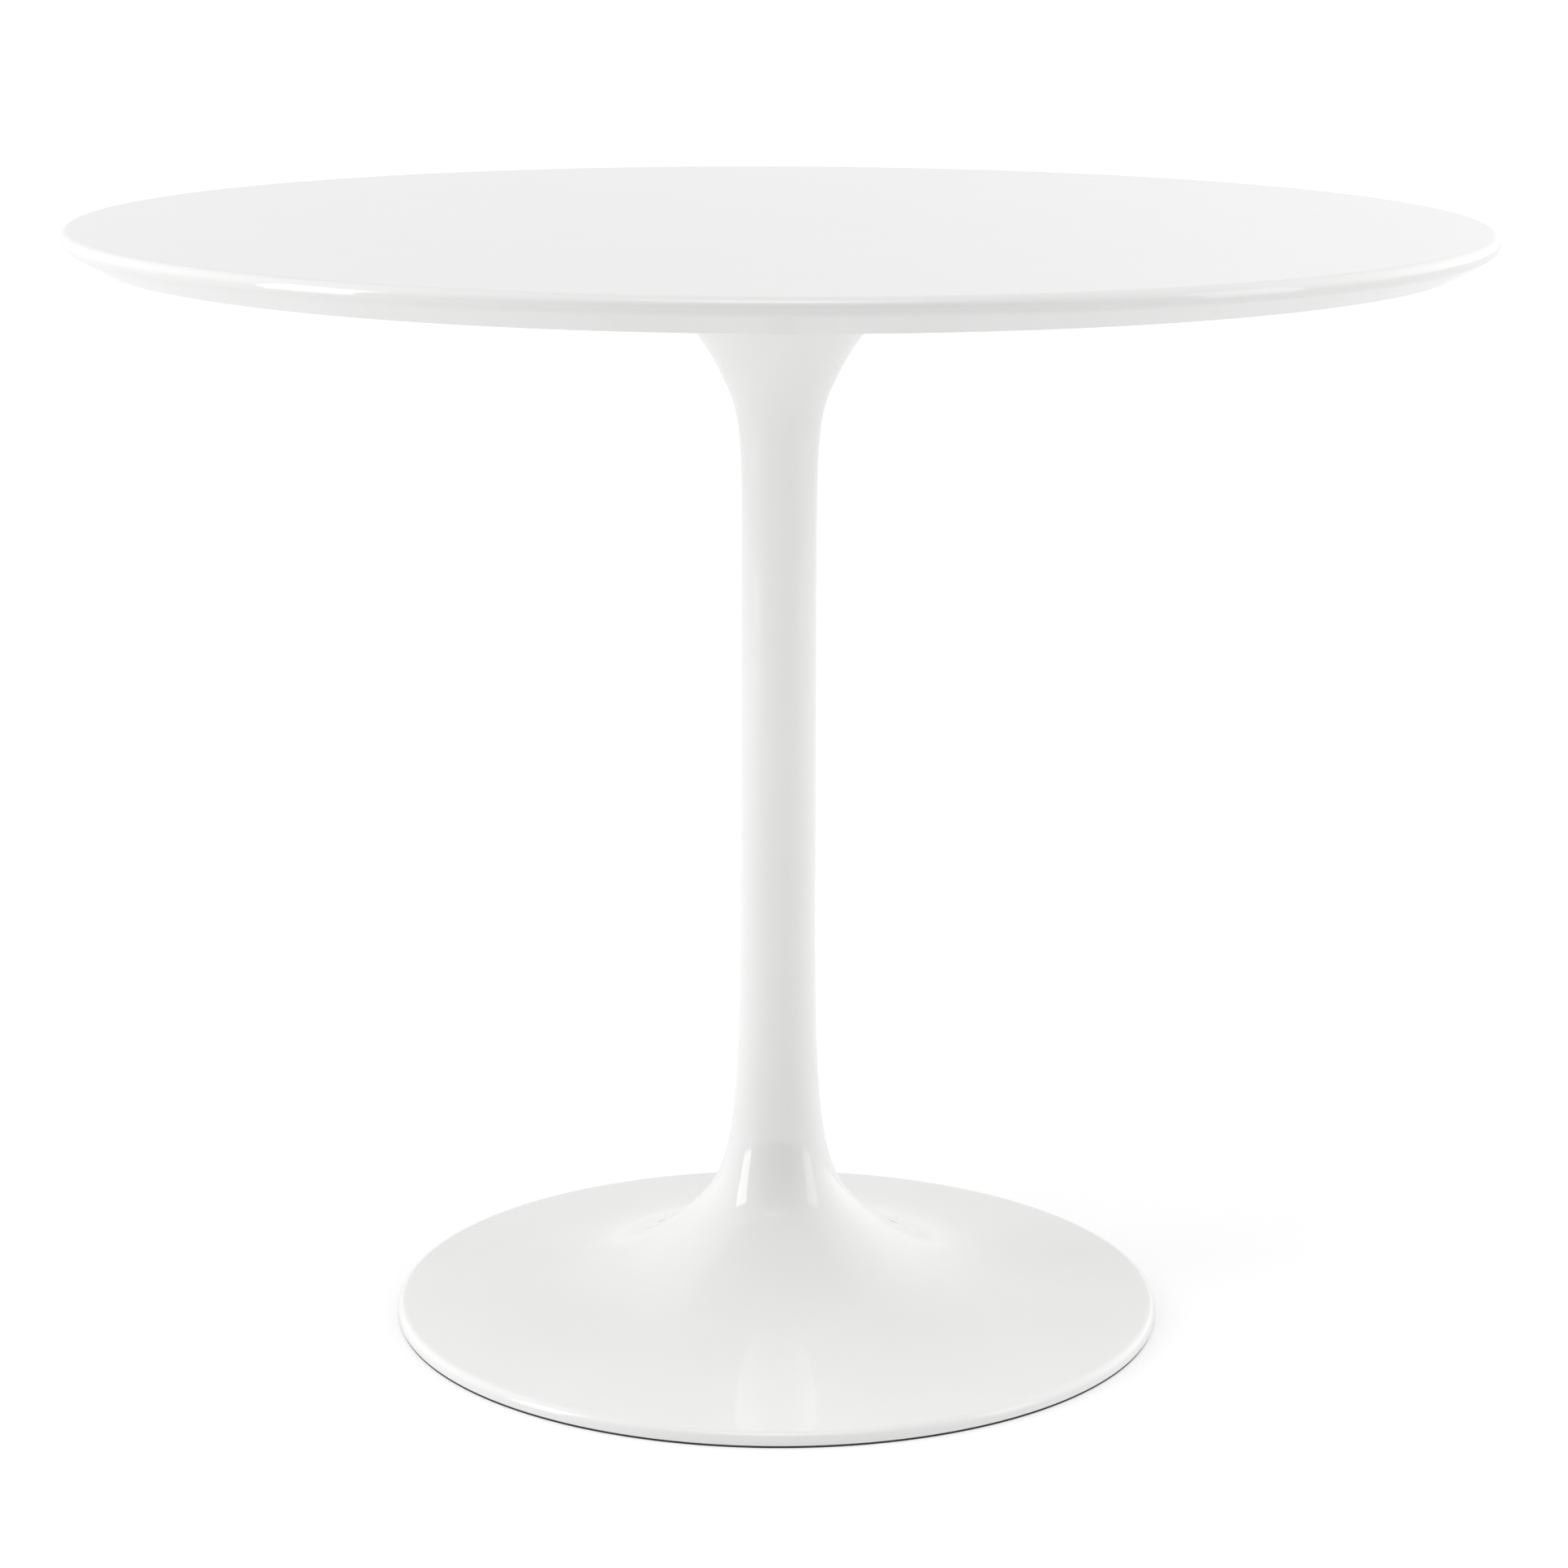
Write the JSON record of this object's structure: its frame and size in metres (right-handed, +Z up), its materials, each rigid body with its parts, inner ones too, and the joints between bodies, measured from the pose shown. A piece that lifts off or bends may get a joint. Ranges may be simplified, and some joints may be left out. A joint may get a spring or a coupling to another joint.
{
  "type": "round pedestal table",
  "caption": "Round dining table: a thin bevel-edged gloss white disc on a slim trumpet pedestal that flares into a wide shallow round foot with a black rubber floor ring.",
  "frame": {"origin": "on the floor, under the centre of the stem", "axes": "+Z up along the stem's axis; the table is round, so X and Y are free, and the screws' first holes stand half a pitch from +X"},
  "size_m": [0.9144, 0.9144, 0.7366],
  "materials": {
    "top_lacquer": "gloss",
    "pedestal_enamel": "gloss",
    "plate_paint": "satin",
    "primer_steel": "matte",
    "zinc_steel": "satin",
    "zinc_alloy": "satin",
    "black_screw": "satin",
    "iron": "matte",
    "floor_rubber": "matte",
    "cover_plastic": "matte"
  },
  "bodies": {
    "root": {"table_top": "top_lacquer", "top_inserts": "zinc_alloy", "mounting_plate": "plate_paint", "plate_screws": "zinc_steel", "plate_spring_washers": "zinc_steel", "plate_flat_washers": "zinc_steel", "locating_ring": "plate_paint", "rod_boss": "plate_paint", "pedestal_shell": "pedestal_enamel", "seat_ring": "primer_steel", "base_weight": "iron", "tie_rod": "zinc_steel", "rod_lock_nut": "zinc_steel", "rod_nut": "zinc_steel", "rod_spring_washer": "zinc_steel", "rod_flat_washer": "zinc_steel", "floor_ring": "floor_rubber", "bottom_cover": "cover_plastic", "cover_screws": "black_screw"}
  },
  "joints": []
}
